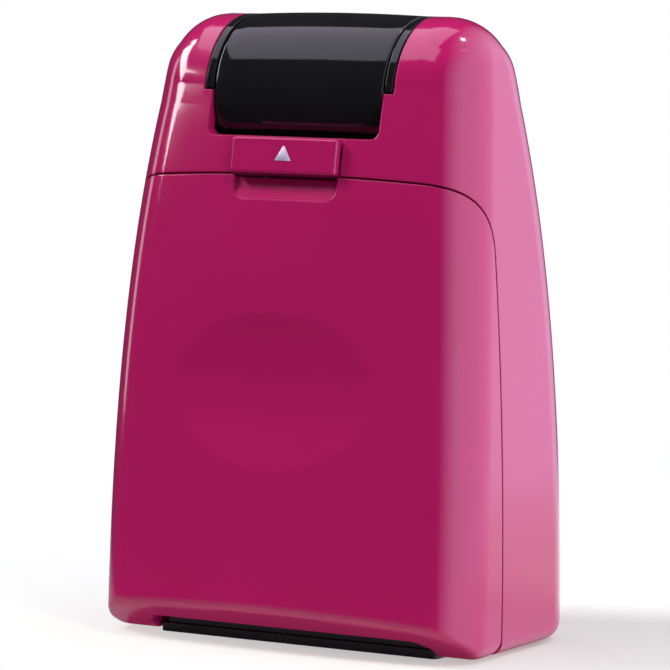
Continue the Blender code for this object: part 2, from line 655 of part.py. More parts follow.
build_housing()
build_latch()
build_hood()
mirrored(build_linkage)
build_shutter()
build_frame()
build_inner_dome()
build_cartridge()
build_rollers()
build_foot()
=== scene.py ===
"""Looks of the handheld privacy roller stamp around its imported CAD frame.

The two housing halves, the latch, the hood and the roller surfaces are rebuilt as smooth, dense meshes. The
small mechanical parts keep their CAD meshes and get finished materials. Lengths below are in millimetres
above the housing's own underside; LIFT is how far that underside stands above the plane of the foot.
"""

import json
import math
import random

import bmesh
import bpy
import numpy as np
from mathutils import Matrix, Vector


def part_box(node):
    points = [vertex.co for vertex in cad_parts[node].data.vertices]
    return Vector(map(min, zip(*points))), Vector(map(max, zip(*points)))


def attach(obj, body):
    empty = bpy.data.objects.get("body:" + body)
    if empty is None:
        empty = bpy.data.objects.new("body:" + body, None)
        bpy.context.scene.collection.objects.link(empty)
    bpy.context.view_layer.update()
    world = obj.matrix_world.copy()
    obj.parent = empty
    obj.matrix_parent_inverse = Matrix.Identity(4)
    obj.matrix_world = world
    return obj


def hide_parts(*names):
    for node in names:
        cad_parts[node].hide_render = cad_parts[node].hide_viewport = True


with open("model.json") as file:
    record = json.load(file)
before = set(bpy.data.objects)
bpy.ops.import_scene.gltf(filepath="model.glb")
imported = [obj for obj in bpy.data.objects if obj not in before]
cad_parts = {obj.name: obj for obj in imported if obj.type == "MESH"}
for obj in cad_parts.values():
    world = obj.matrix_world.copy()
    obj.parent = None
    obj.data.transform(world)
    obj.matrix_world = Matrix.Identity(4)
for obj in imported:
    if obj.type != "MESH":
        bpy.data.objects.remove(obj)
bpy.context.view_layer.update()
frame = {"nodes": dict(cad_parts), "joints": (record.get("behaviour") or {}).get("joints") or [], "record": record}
NODES = frame["nodes"]
JOINTS = {joint["name"]: joint for joint in frame["joints"]}

MM = 0.001
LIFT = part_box("rear_shell")[0].z / MM

# Housing. The terms belong to the powers of t = z / HEIGHT in the outlines below.
HEIGHT = (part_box("rear_shell")[1].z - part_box("rear_shell")[0].z) / MM
HALF_WIDTH, WIDTH_TERMS = 31.0, (0.74, 5.58, 0.77)
HALF_DEPTH, DEPTH_TERMS = 16.6, (2.4, 2.9, 5.0)
LEAN_TERMS = (2.6, 0.5)
CORNER_RADIUS = 7.0
WALL = 1.8
BOW = 3.0
SHOULDER = 7.0
BOTTOM_INSET, BOTTOM_INSET_HEIGHT = 2.1, 2.0
CHAMFER_HEIGHT, CHAMFER_DEPTH = 5.8, 9.7
CHAMFER_SOFT = 1.6
TOP_CENTRE_Y, TOP_CENTRE_Z, TOP_RADIUS = 1.9, 76.4, 12.2
TANGENT = math.radians(10.0)
TANGENT_Z = TOP_CENTRE_Z + TOP_RADIUS * math.sin(TANGENT)
GAP = 0.3

# Thumb dimple in the door: a shallow oval scoop
DIMPLE_X, DIMPLE_Z = 0.0, 36.4
DIMPLE_HALF_X, DIMPLE_HALF_Z, DIMPLE_DEPTH = 16.8, 11.1, 1.15

# Seam between shell and door
SEAM_HEIGHT, SEAM_FRONT_Y, SEAM_FALL = 66.7, -12.9, 0.45
SIDE_SEAM_Y, SIDE_SEAM_LEAN, SEAM_CORNER, SEAM_CORNER_Z = -5.4, 1.7 / 88.6, 10.0, 60.0
PIVOT_Y, PIVOT_Z = JOINTS["door_hinge"]["pos_m"][1] / MM, JOINTS["door_hinge"]["pos_m"][2] / MM - LIFT

# Door hinge: ears of the shell reach into slots in the door, beside the door's own lugs
EAR_SPAN, EAR_RADIUS = (25.2, 26.8), 1.9
EAR_SLOT_SPAN, EAR_SLOT_RADIUS = (24.9, 27.1), 2.3
LUG_SPAN, LUG_RADIUS, PIN_HOLE_RADIUS = (27.25, 29.8), 2.6, 1.3

RECESS_HALF_WIDTH, RECESS_HEIGHT, RECESS_LEAN = 8.6, 3.7, 29.0
FOOT_HALF_OPENING, FOOT_MOUTH_TOP = 23.5, 2.51

# Hood
AXIS_Y, AXIS_Z = JOINTS["hood_turn"]["pos_m"][1] / MM, JOINTS["hood_turn"]["pos_m"][2] / MM - LIFT
PANEL_RADIUS, STRIP_RADIUS = 12.0, 11.7
PANEL_HALF_WIDTH, PANEL_THICKNESS, PANEL_CROWN = 13.9, 0.9, 0.3
SKIN_RADIUS = PANEL_RADIUS - PANEL_THICKNESS - GAP
STRIP_INNER, STRIP_OUTER = 14.25, 15.4
STRIP_HUB_RADIUS, STRIP_HOLE_RADIUS = 3.4, 1.8
HOOD_REAR, HOOD_FRONT = -36.0, 212.0
OPENING_WIDE, OPENING_NARROW = 15.7, 14.2
LEDGE_Z, OPENING_BOTTOM, REAR_OPENING_BOTTOM = 78.1, 71.8, 71.2

# Latch and stamp roller
LATCH_HALF_WIDTH, LATCH_HEIGHT, LATCH_Z, LATCH_PROUD, LATCH_LEAN = 8.65, 5.0, 69.2, 0.85, math.radians(10.0)
ROLLER_Z, ROLLER_RADIUS, ROLLER_HALF_WIDTH = 8.8, 8.0, 18.0


# ---------------------------------------------------------------- materials

def shader_nodes(name):
    """A new material with its nodes, links and Principled shader."""
    made = bpy.data.materials.new(name)
    made.use_nodes = True
    nodes, links = made.node_tree.nodes, made.node_tree.links
    return made, nodes, links, nodes["Principled BSDF"]


def noise(nodes, links, coordinates, scale, detail=3.0, stretch=(1.0, 1.0, 1.0)):
    """A noise texture; scale is in features per metre."""
    mapping = nodes.new("ShaderNodeMapping")
    mapping.inputs["Scale"].default_value = stretch
    texture = nodes.new("ShaderNodeTexNoise")
    texture.inputs["Scale"].default_value = scale
    texture.inputs["Detail"].default_value = detail
    links.new(coordinates, mapping.inputs["Vector"])
    links.new(mapping.outputs["Vector"], texture.inputs["Vector"])
    return texture.outputs["Fac"]


def ranged(nodes, links, value, low, high, from_low=0.3, from_high=0.7):
    """Spread a noise value over a range."""
    spread = nodes.new("ShaderNodeMapRange")
    spread.inputs["From Min"].default_value = from_low
    spread.inputs["From Max"].default_value = from_high
    spread.inputs["To Min"].default_value = low
    spread.inputs["To Max"].default_value = high
    links.new(value, spread.inputs["Value"])
    return spread.outputs["Result"]


MOTTLE_SCALE, ROUGHNESS_SCALE = 45.0, 120.0


def finish_material(name, colours, roughness, bumps, metallic=0.0, edge=0.0, coat=0.0, scuff=None, sheen=0.0,
                    specular=0.5, anisotropic=0.0):
    """A Principled material with mottled colour, uneven roughness and layered bump.

    colours: two colours mixed by large noise. roughness: low and high. bumps: (scale, strength, distance,
    stretch) per layer. edge: radius in metres by which sharp edges look rounded. scuff: (scale, share) of
    fine dull marks.
    """
    made, nodes, links, shader = shader_nodes(name)
    where = nodes.new("ShaderNodeTexCoord").outputs["Object"]
    mix = nodes.new("ShaderNodeMix")
    mix.data_type = "RGBA"
    mix.inputs["A"].default_value = (*colours[0], 1.0)
    mix.inputs["B"].default_value = (*colours[1], 1.0)
    links.new(ranged(nodes, links, noise(nodes, links, where, MOTTLE_SCALE), 0.0, 1.0), mix.inputs["Factor"])
    links.new(mix.outputs["Result"], shader.inputs["Base Color"])

    rough = ranged(nodes, links, noise(nodes, links, where, ROUGHNESS_SCALE, 5.0), *roughness)
    if scuff:
        scale, amount = scuff
        grain = noise(nodes, links, where, scale, 6.0, (1.0, 1.0, 0.25))
        marks = ranged(nodes, links, grain, 0.0, amount, 0.6, 0.75)
        add = nodes.new("ShaderNodeMath")
        add.operation = "ADD"
        links.new(rough, add.inputs[0])
        links.new(marks, add.inputs[1])
        rough = add.outputs[0]
    links.new(rough, shader.inputs["Roughness"])

    normal = None
    if edge:
        rounded = nodes.new("ShaderNodeBevel")
        rounded.samples = 4
        rounded.inputs["Radius"].default_value = edge
        normal = rounded.outputs["Normal"]
    for scale, strength, distance, stretch in bumps:
        bump = nodes.new("ShaderNodeBump")
        bump.inputs["Strength"].default_value = strength
        bump.inputs["Distance"].default_value = distance
        links.new(noise(nodes, links, where, scale, 4.0, stretch), bump.inputs["Height"])
        if normal:
            links.new(normal, bump.inputs["Normal"])
        normal = bump.outputs["Normal"]
    if normal:
        links.new(normal, shader.inputs["Normal"])
    shader.inputs["Metallic"].default_value = metallic
    shader.inputs["Coat Weight"].default_value = coat
    shader.inputs["Coat Roughness"].default_value = 0.03
    shader.inputs["Sheen Weight"].default_value = sheen
    shader.inputs["Specular IOR Level"].default_value = specular
    shader.inputs["Anisotropic"].default_value = anisotropic
    return made


EVEN = (1.0, 1.0, 1.0)
MAGENTA = finish_material("magenta_gloss", ((0.50, 0.011, 0.112), (0.48, 0.010, 0.104)), (0.10, 0.16),
                          [(900.0, 0.04, 0.0001, EVEN), (60.0, 0.02, 0.0006, EVEN)], edge=0.00030,
                          scuff=(700.0, 0.05), coat=0.6)
BLACK_GLOSS = finish_material("black_gloss", ((0.0075, 0.0075, 0.0070), (0.010, 0.010, 0.0095)),
                              (0.05, 0.09),
                              [(1200.0, 0.03, 0.0001, EVEN), (70.0, 0.04, 0.0004, EVEN)], edge=0.00020,
                              scuff=(900.0, 0.06))
BLACK_SATIN = finish_material("black_satin", ((0.012, 0.012, 0.012), (0.018, 0.018, 0.019)), (0.26, 0.36),
                              [(2600.0, 0.12, 0.0001, EVEN)], edge=0.00020, scuff=(600.0, 0.1))
GREY_PLASTIC = finish_material("grey_plastic", ((0.085, 0.085, 0.09), (0.115, 0.115, 0.12)), (0.40, 0.52),
                               [(2400.0, 0.2, 0.0001, EVEN)], edge=0.00025, scuff=(500.0, 0.1))
STEEL = finish_material("brushed_steel", ((0.58, 0.58, 0.60), (0.66, 0.66, 0.67)), (0.20, 0.32),
                        [(3500.0, 0.15, 0.00005, (0.05, 1.0, 1.0))], metallic=1.0, edge=0.00010,
                        anisotropic=0.5)
RUBBER = finish_material("stamp_rubber", ((0.030, 0.028, 0.032), (0.045, 0.040, 0.046)), (0.60, 0.80),
                         [(3000.0, 0.3, 0.0001, EVEN), (600.0, 0.2, 0.0002, EVEN)], edge=0.00012)
FELT = finish_material("ink_felt", ((0.008, 0.008, 0.014), (0.022, 0.022, 0.032)), (0.85, 1.0),
                       [(2200.0, 0.9, 0.0003, EVEN), (900.0, 0.6, 0.0004, (1.0, 0.4, 0.4))], sheen=0.4)
PRINT = finish_material("white_print", ((0.66, 0.57, 0.70), (0.74, 0.66, 0.78)), (0.35, 0.5),
                        [(4000.0, 0.2, 0.00005, EVEN)])


# ---------------------------------------------------------------- housing form

def half_width(z):
    """Half the width at height z: a taper, a round shoulder at the top and a drawn-in lower edge."""
    t = z / HEIGHT
    first, second, fourth = WIDTH_TERMS
    rise = np.clip(z - (HEIGHT - SHOULDER), 0.0, SHOULDER)
    low = np.clip(1.0 - z / BOTTOM_INSET_HEIGHT, 0.0, 1.0)
    width = HALF_WIDTH + first * t - second * t ** 2 - fourth * t ** 4
    width = width - (SHOULDER - np.sqrt(SHOULDER ** 2 - rise ** 2))
    return width - BOTTOM_INSET * (1.0 - np.sqrt(1.0 - low ** 2))


def centre_y(z):
    """Middle of the depth at height z."""
    t = z / HEIGHT
    first, second = LEAN_TERMS
    return np.where(z > TANGENT_Z, TOP_CENTRE_Y, first * t - second * t * t)


def half_depth(z):
    """Half the depth in the middle of the width: a taper, and a round top above TANGENT_Z."""
    t = z / HEIGHT
    first, second, fourth = DEPTH_TERMS
    below = HALF_DEPTH + BOW - first * t - second * t ** 2 - fourth * t ** 4
    above = np.sqrt(np.clip(TOP_RADIUS ** 2 - (z - TOP_CENTRE_Z) ** 2, 0.0, None))
    return np.where(z > TANGENT_Z, above, below)


def bow(z):
    """How much deeper the housing is in the middle of its width than at its corners."""
    return BOW * np.sqrt(np.clip((HEIGHT - z) / (HEIGHT - TOP_CENTRE_Z), 0.0, 1.0))


def soft_min(a, b, softness):
    """The smaller of two values, rounded off where they are nearly equal."""
    near = np.clip(softness - np.abs(a - b), 0.0, None) / softness
    return np.minimum(a, b) - near * near * softness / 4.0


def chamfer_reach(z):
    """How far from y = 0 the sloping lower faces let the front and the back come."""
    return half_depth(np.zeros_like(z)) - CHAMFER_DEPTH * (1.0 - z / CHAMFER_HEIGHT)


def dimple_depth(x, z):
    """Depth of the thumb dimple, an oval scoop that is deepest in its middle."""
    rim = 1.0 - ((x - DIMPLE_X) / DIMPLE_HALF_X) ** 2 - ((z - DIMPLE_Z) / DIMPLE_HALF_Z) ** 2
    inside = np.clip(rim, 0.0, 1.0)
    return DIMPLE_DEPTH * inside ** 1.1


def ring(z, corner_steps, long_steps, side_steps, wall=0.0):
    """One level section of the housing as points going round: its outside, or a hollow inside the wall."""
    z = np.asarray(float(z))
    a, b = float(half_width(z)) - wall, max(float(half_depth(z) - bow(z)) - wall, 0.05)
    r = min(CORNER_RADIUS - wall, 0.95 * a, 0.95 * b)
    points = []
    for quarter in range(4):
        sx = 1.0 if quarter in (0, 3) else -1.0
        sy = 1.0 if quarter < 2 else -1.0
        for k in range(corner_steps + 1):
            turn = math.radians(90.0 * (quarter + k / corner_steps))
            points.append((sx * (a - r) + r * math.cos(turn), sy * (b - r) + r * math.sin(turn)))
        steps = long_steps if quarter in (0, 2) else side_steps
        for k in range(1, steps):
            s = 1.0 - 2.0 * k / steps
            if quarter in (0, 2):
                points.append((sx * (a - r) * s, sy * b))
            else:
                points.append((sx * a, sy * (b - r) * s))
    flat = np.array(points)
    crown = float(bow(z)) * (1.0 - (flat[:, 0] / a) ** 2)
    depth = np.abs(flat[:, 1]) + crown
    side = np.where(flat[:, 1] < 0.0, -1.0, 1.0)
    centre = float(centre_y(z))
    reach = float(chamfer_reach(z)) - side * centre - 2.0 * wall
    if z < 2.0 * CHAMFER_HEIGHT:
        depth = soft_min(depth, np.maximum(reach, 0.0), CHAMFER_SOFT)
    y = side * depth + centre
    front = flat[:, 1] < 0.0
    if not wall:
        y = y + np.where(front, dimple_depth(flat[:, 0], z), 0.0)
    return np.column_stack((flat[:, 0], y, np.full(len(y), float(z))))


def field(points):
    """Signed distance-like value whose zero level is the housing's outside."""
    x, y, z = points[:, 0], points[:, 1], points[:, 2]
    a = half_width(z)
    rise = bow(z)
    b = np.maximum(half_depth(z) - rise, 0.05)
    r = np.minimum(CORNER_RADIUS, np.minimum(0.95 * a, 0.95 * b))
    centre = centre_y(z)
    side = np.where(y < centre, -1.0, 1.0)
    sunk = np.where(side < 0.0, dimple_depth(x, z), 0.0)
    depth = np.abs(y - centre) + sunk
    qx = np.abs(x) - (a - r)
    qy = depth - rise * (1.0 - (x / a) ** 2) - (b - r)
    body = np.hypot(np.clip(qx, 0.0, None), np.clip(qy, 0.0, None)) + np.minimum(np.maximum(qx, qy), 0.0) - r
    slope = math.hypot(1.0, CHAMFER_DEPTH / CHAMFER_HEIGHT)
    chamfer = (depth - (chamfer_reach(z) - side * centre)) / slope
    return -soft_min(-body, -chamfer, CHAMFER_SOFT / slope)


def field_normals(points):
    """Outward normals from the field; points on the crease at TANGENT_Z are read just above it."""
    eps = 0.03
    points = points.copy()
    points[np.abs(points[:, 2] - TANGENT_Z) < 2.0 * eps, 2] = TANGENT_Z + 2.0 * eps
    gradient = np.empty_like(points)
    for axis in range(3):
        step = np.zeros(3)
        step[axis] = eps
        gradient[:, axis] = field(points + step) - field(points - step)
    return gradient / np.maximum(np.linalg.norm(gradient, axis=1, keepdims=True), 1e-9)


def to_object(name, bm, material=None):
    """Finish a bmesh drawn in millimetres above the housing's underside as an object in the row frame."""
    bmesh.ops.recalc_face_normals(bm, faces=bm.faces)
    placed = Matrix.Translation((0, 0, LIFT * MM)) @ Matrix.Scale(MM, 4)
    bmesh.ops.transform(bm, matrix=placed, verts=bm.verts)
    mesh = bpy.data.meshes.new(name)
    bm.to_mesh(mesh)
    bm.free()
    mesh.shade_smooth()
    obj = bpy.data.objects.new(name, mesh)
    bpy.context.scene.collection.objects.link(obj)
    if material:
        mesh.materials.append(material)
    return obj


def levels():
    """Heights of the sections, close together where the form turns quickly."""
    low = [0.0, 0.1, 0.25, 0.5, 0.8, 1.1, 1.5, 2.0, 2.6, 3.2, 3.8, 4.4, 5.0, 5.6, 6.2, 6.8, 7.4, 8.2, 9.2]
    for start, end, step in ((10.5, 22.5, 2.0), (22.5, 49.0, 0.5), (50.5, 77.0, 1.5)):
        low += list(np.arange(start, end, step))
    top = [TOP_CENTRE_Z + TOP_RADIUS * math.sin(math.radians(a)) for a in np.arange(10.0, 89.0, 2.0)]
    return low + top


def loft(name, rings, material=None):
    """A closed body through rings with the same number of points."""
    bm = bmesh.new()
    made = [[bm.verts.new(point) for point in points] for points in rings]
    for lower, upper in zip(made, made[1:]):
        for k in range(len(lower)):
            j = (k + 1) % len(lower)
            bm.faces.new((lower[k], lower[j], upper[j], upper[k]))
    bm.faces.new(made[0])
    bm.faces.new(made[-1])
    return to_object(name, bm, material)


def housing_outside(name, material):
    return loft(name, [ring(z, 12, 72, 10) for z in levels()], material)


def housing_inside(name):
    """The hollow: the outside drawn in by the wall, without the dimple."""
    heights = [WALL, 3.0, 4.5, 6.0, 8.0, 12.0, 20.0, 30.0, 40.0, 50.0, 60.0, 67.0, 73.0, TOP_CENTRE_Z, 80.0,
               83.0, 85.5, 86.6]
    return loft(name, [ring(z, 6, 8, 3, WALL) for z in heights])


def between(first, last):
    """A closed bmesh between two outlines with the same number of points."""
    bm = bmesh.new()
    start, end = [[bm.verts.new(point) for point in points] for points in (first, last)]
    bm.faces.new(start)
    bm.faces.new(end)
    for k in range(len(start)):
        j = (k + 1) % len(start)
        bm.faces.new((start[k], start[j], end[j], end[k]))
    return bm


def slab(name, outline, x_range, material=None):
    """An outline in the YZ plane spread along X."""
    bm = between(*[[(x, y, z) for y, z in outline] for x in x_range])
    return to_object(name, bm, material)


def prism(name, outline, y_range, material=None):
    """An outline in the XZ plane spread along Y."""
    bm = between(*[[(x, y, z) for x, z in outline] for y in y_range])
    return to_object(name, bm, material)


def block(name, low, high, material=None):
    """A box between two opposite corners."""
    return slab(name, [(low[1], low[2]), (high[1], low[2]), (high[1], high[2]), (low[1], high[2])],
                (low[0], high[0]), material)


def arc(u, v, radius, start, end, count=12):
    """Points on a circle about (u, v), from one angle to another in degrees."""
    angles = [math.radians(start + (end - start) * k / count) for k in range(count + 1)]
    return [(u + radius * math.cos(a), v + radius * math.sin(a)) for a in angles]


def rounded(half_u, half_v, radius, u=0.0, v=0.0, count=8):
    """A rectangle with round corners about (u, v), as points going round."""
    points = []
    for quarter, (su, sv) in enumerate(((1, 1), (-1, 1), (-1, -1), (1, -1))):
        points += arc(u + su * (half_u - radius), v + sv * (half_v - radius), radius, 90.0 * quarter,
                      90.0 * quarter + 90.0, count)
    return points


def divided(outline, longest):
    """The same outline with extra points along its longer sides."""
    points = []
    for (u, v), (next_u, next_v) in zip(outline, outline[1:] + outline[:1]):
        count = max(1, math.ceil(math.hypot(next_u - u, next_v - v) / longest))
        points += [(u + (next_u - u) * k / count, v + (next_v - v) * k / count) for k in range(count)]
    return points


def door_region(name, gap, closed):
    """Side-view region of the door, spread across the whole width."""
    fall = math.atan(SEAM_FALL)
    side_y = SIDE_SEAM_Y + gap
    near_y = side_y + SIDE_SEAM_LEAN * SEAM_CORNER_Z
    corner_z = SEAM_HEIGHT - SEAM_FALL * (near_y - SEAM_FRONT_Y) + gap / math.cos(fall)
    corner_y = side_y + SIDE_SEAM_LEAN * corner_z
    radius = SEAM_CORNER + gap
    centre = (corner_y - radius, corner_z - radius * math.tan((math.pi / 2 - fall) / 2))
    far = -45.0
    outline = [(far, corner_z + SEAM_FALL * (corner_y - far))]
    outline += arc(*centre, radius, 90.0 - math.degrees(fall), 0.0, 28)
    if closed:
        outline += arc(PIVOT_Y, PIVOT_Z, side_y - PIVOT_Y, 0.0, -90.0, 14)
        outline += [(PIVOT_Y, -10.0), (far, -10.0)]
    else:
        outline += [(side_y, 0.0), (side_y, -10.0), (far, -10.0)]
    return slab(name, outline, (-40.0, 40.0))


def combine(obj, operation, *others):
    """Add a Boolean modifier to the object for each of the others."""
    for other in others:
        modifier = obj.modifiers.new(operation.lower(), "BOOLEAN")
        modifier.operation = operation
        modifier.solver = "EXACT"
        modifier.object = other


def apply_modifiers(obj, *used):
    """Turn the evaluated mesh into the object's own, then remove the cutters it used."""
    bpy.context.view_layer.update()
    mesh = bpy.data.meshes.new_from_object(obj.evaluated_get(bpy.context.evaluated_depsgraph_get()))
    obj.modifiers.clear()
    obj.data = mesh
    for other in used:
        bpy.data.objects.remove(other)
    return obj


def dress_normals(obj):
    """Give faces of the outer skin the exact normals of the housing's form; other faces keep their own."""
    mesh = obj.data
    mesh.set_sharp_from_angle(angle=math.radians(25.0))
    count = len(mesh.vertices)
    co = np.empty(count * 3)
    mesh.vertices.foreach_get("co", co)
    co = co.reshape(-1, 3) / MM
    co[:, 2] -= LIFT
    exact = field_normals(co)
    on_skin = np.abs(field(co)) < 0.05
    corner = [tuple(c.vector) for c in mesh.corner_normals]
    for face in mesh.polygons:
        flat = np.array(face.normal)
        indices = list(face.vertices)
        if all(on_skin[i] and float(exact[i] @ flat) > 0.86 for i in indices):
            for loop, i in zip(face.loop_indices, indices):
                corner[loop] = tuple(exact[i])
    mesh.normals_split_custom_set(corner)


def front_y(z):
    """Y of the front in the middle of the housing's width."""
    z = np.asarray(float(z))
    return float(centre_y(z) - half_depth(z))


# ---------------------------------------------------------------- housing pieces

def hood_cutters():
    """The opening for the hood: wide above the ledges and at the back, narrow below them in front."""
    reach = 20.0
    outline = rounded(OPENING_NARROW, reach, 1.3, 0.0, OPENING_BOTTOM + reach, 10)
    narrow = prism("cut_narrow", outline, (-30.0, AXIS_Y))
    wide = block("cut_wide", (-OPENING_WIDE, -40.0, LEDGE_Z), (OPENING_WIDE, 40.0, 100.0))
    rear = block("cut_rear", (-OPENING_WIDE, AXIS_Y - 1.0, REAR_OPENING_BOTTOM), (OPENING_WIDE, 40.0, 100.0))
    drum = slab("cut_drum", arc(AXIS_Y, AXIS_Z, PANEL_RADIUS + GAP, 0.0, 360.0, 120)[:-1],
                (-OPENING_NARROW - 0.02, OPENING_NARROW + 0.02))
    outline = arc(AXIS_Y, AXIS_Z, STRIP_RADIUS + GAP, -100.0, 100.0, 60)
    outline += arc(AXIS_Y, AXIS_Z, SKIN_RADIUS + GAP, 100.0, 260.0, 48)
    strips = slab("cut_strips", outline, (-OPENING_WIDE - GAP, OPENING_WIDE + GAP))
    return [drum, strips, narrow, wide, rear]


def leaned(obj, z):
    """Turn a piece drawn about the origin so that it leans with the front, and put it at height z."""
    turn = Matrix.Rotation(-LATCH_LEAN, 4, "X")
    shift = Matrix.Translation(Vector((0.0, front_y(z), z + LIFT)) * MM)
    obj.data.transform(shift @ turn @ Matrix.Translation((0, 0, -LIFT * MM)))
    return obj


def latch_cutters():
    """The latch's pocket and the slot for its stem, drawn about the middle of the latch."""
    pocket = block("cut_pocket", (-LATCH_HALF_WIDTH - GAP, -4.0, -8.0), (LATCH_HALF_WIDTH + GAP, 0.9, 8.0))
    slot = block("cut_slot", (-3.3, -4.0, -2.3), (3.3, 6.0, 1.3))
    return [leaned(pocket, LATCH_Z), leaned(slot, LATCH_Z)]


def foot_cutters():
    """The opening for the foot: a box, with soft upper corners where it breaks through the sloping face."""
    body = block("cut_foot", (-FOOT_HALF_OPENING, -12.4, -5.0), (FOOT_HALF_OPENING, 10.4, 12.0))
    reach = 6.0
    outline = rounded(FOOT_HALF_OPENING - 0.1, reach, 2.2, 0.0, FOOT_MOUTH_TOP - reach, 12)
    mouth = prism("cut_mouth", outline, (-20.0, -9.0))
    return [body, mouth]


def finger_recess():
    """A finger-wide scoop below the latch, deeper towards the seam."""
    low = SEAM_HEIGHT - RECESS_HEIGHT
    reach = 9.0
    outline = [(x, y + reach) for x, y in rounded(RECESS_HALF_WIDTH, reach, 2.1, count=14)]
    bm = between(*[[(x, y, z) for x, y in outline] for z in (0.0, 8.0)])
    rim = [edge for edge in bm.edges if all(v.co.z == 0.0 for v in edge.verts)]
    bmesh.ops.bevel(bm, geom=rim, offset=0.8, segments=8, affect="EDGES", profile=0.5)
    leaning = Matrix.Rotation(math.radians(90.0 - RECESS_LEAN), 4, "X")
    placed = Matrix.Translation((0.0, front_y(low) + 0.25, low)) @ leaning
    bmesh.ops.transform(bm, matrix=placed, verts=bm.verts)
    return to_object("cut_recess", bm)


def span(limits, sign):
    """The same stretch of X on the right (sign 1) or on the left (sign -1)."""
    return sorted(limit * sign for limit in limits)


def hinge_outline(radius, count):
    """A circle about the door's axis."""
    return arc(PIVOT_Y, PIVOT_Z, radius, 0.0, 360.0, count)[:-1]


def ring_slab(name, outline, hole, x_range):
    """A flat outline with a round hole, spread along X."""
    body = slab(name, outline, x_range)
    bore = slab(name + "_bore", hole, (x_range[0] - 1.0, x_range[1] + 1.0))
    combine(body, "DIFFERENCE", bore)
    return apply_modifiers(body, bore)


def build_housing():
    """The rear shell and the door, cut from the same outside form along the seam."""
    hollow = housing_inside("cut_hollow")
    foot = foot_cutters()

    shell = housing_outside("rear_shell_skin", MAGENTA)
    cutters = [hollow, door_region("cut_door", GAP / 2, False), *hood_cutters(), *latch_cutters(), *foot]
    combine(shell, "DIFFERENCE", *cutters)
    ears = []
    outline = arc(PIVOT_Y, PIVOT_Z, EAR_RADIUS, 180.0, 360.0, 12)
    outline += [(2.0, 1.0), (2.0, 4.5), (-2.0, 9.0), (-4.5, 9.0)]
    for sign in (1.0, -1.0):
        ears.append(ring_slab("ear", outline, hinge_outline(PIN_HOLE_RADIUS, 20), span(EAR_SPAN, sign)))
    combine(shell, "UNION", *ears)
    apply_modifiers(shell, *[c for c in cutters if c not in foot and c is not hollow], *ears)
    dress_normals(shell)
    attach(shell, "housing")
    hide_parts("rear_shell")

    door = housing_outside("front_door_skin", MAGENTA)
    region = door_region("door_form", -GAP / 2, True)
    recess = finger_recess()
    outline = [(-4.0, 6.0), (-4.0, -2.0), (PIVOT_Y - 1.0, -2.0)]
    outline += arc(PIVOT_Y, PIVOT_Z, EAR_SLOT_RADIUS, 244.0, 180.0, 8)
    outline.append((PIVOT_Y - EAR_SLOT_RADIUS, 6.0))
    slots = [slab("cut_slot", outline, span(EAR_SLOT_SPAN, sign)) for sign in (1.0, -1.0)]
    combine(door, "INTERSECT", region)
    combine(door, "DIFFERENCE", hollow, *foot, recess, *slots)
    lugs = [ring_slab("lug", hinge_outline(LUG_RADIUS, 28), hinge_outline(PIN_HOLE_RADIUS, 20),
                      span(LUG_SPAN, sign)) for sign in (1.0, -1.0)]
    combine(door, "UNION", *lugs)
    apply_modifiers(door, region, recess, hollow, *foot, *slots, *lugs)
    dress_normals(door)
    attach(door, "door")
    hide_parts("front_door")


def soft_edges(obj, width, segments=3, angle=30.0):
    """Round the edges sharper than an angle, by a width in millimetres."""
    weld = obj.modifiers.new("join", "WELD")
    weld.merge_threshold = 1e-6
    bevel = obj.modifiers.new("soft_edges", "BEVEL")
    bevel.width = width * MM
    bevel.segments = segments
    bevel.angle_limit = math.radians(angle)
    bevel.harden_normals = True
    return obj


def build_latch():
    """The tab with its printed triangle, and the hook behind it."""
    half = LATCH_HEIGHT / 2
    tab = block("latch_tab", (-LATCH_HALF_WIDTH, -LATCH_PROUD, -half), (LATCH_HALF_WIDTH, 0.6, half),
                MAGENTA)
    leaned(tab, LATCH_Z)
    soft_edges(tab, 0.38, 5)
    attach(apply_modifiers(tab), "latch_body")
    stem = block("latch_stem", (-3.0, 0.3, -2.0), (3.0, 2.7, -0.6))
    hook = block("latch_hook", (-5.0, 2.4, -3.9), (5.0, 2.9, -0.6), MAGENTA)
    combine(hook, "UNION", stem)
    apply_modifiers(hook, stem)
    leaned(hook, LATCH_Z)
    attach(hook, "latch_body")
    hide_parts("latch")

    corners = [(-1.35, -0.75), (1.35, -0.75), (0.12, 1.3), (-0.12, 1.3)]
    mark = prism("latch_triangle", corners, (-LATCH_PROUD - 0.04, -LATCH_PROUD + 0.1), PRINT)
    leaned(mark, LATCH_Z)
    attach(mark, "latch_body")


# ---------------------------------------------------------------- hood

def swept(name, profile, start, end, steps, material, y, z):
    """A closed (x, radius) profile swept about an axis along X; angles in degrees from +Y towards +Z."""
    bm = bmesh.new()
    full = abs(end - start) >= 360.0
    rows = []
    for k in range(steps if full else steps + 1):
        a = math.radians(start + (end - start) * k / steps)
        rows.append([bm.verts.new((x, y + r * math.cos(a), z + r * math.sin(a))) for x, r in profile])
    pairs = list(zip(rows, rows[1:])) + ([(rows[-1], rows[0])] if full else [])
    for lower, upper in pairs:
        for k in range(len(profile)):
            j = (k + 1) % len(profile)
            bm.faces.new((lower[k], lower[j], upper[j], upper[k]))
    if not full:
        bm.faces.new(rows[0])
        bm.faces.new(rows[-1])
    return to_object(name, bm, material)


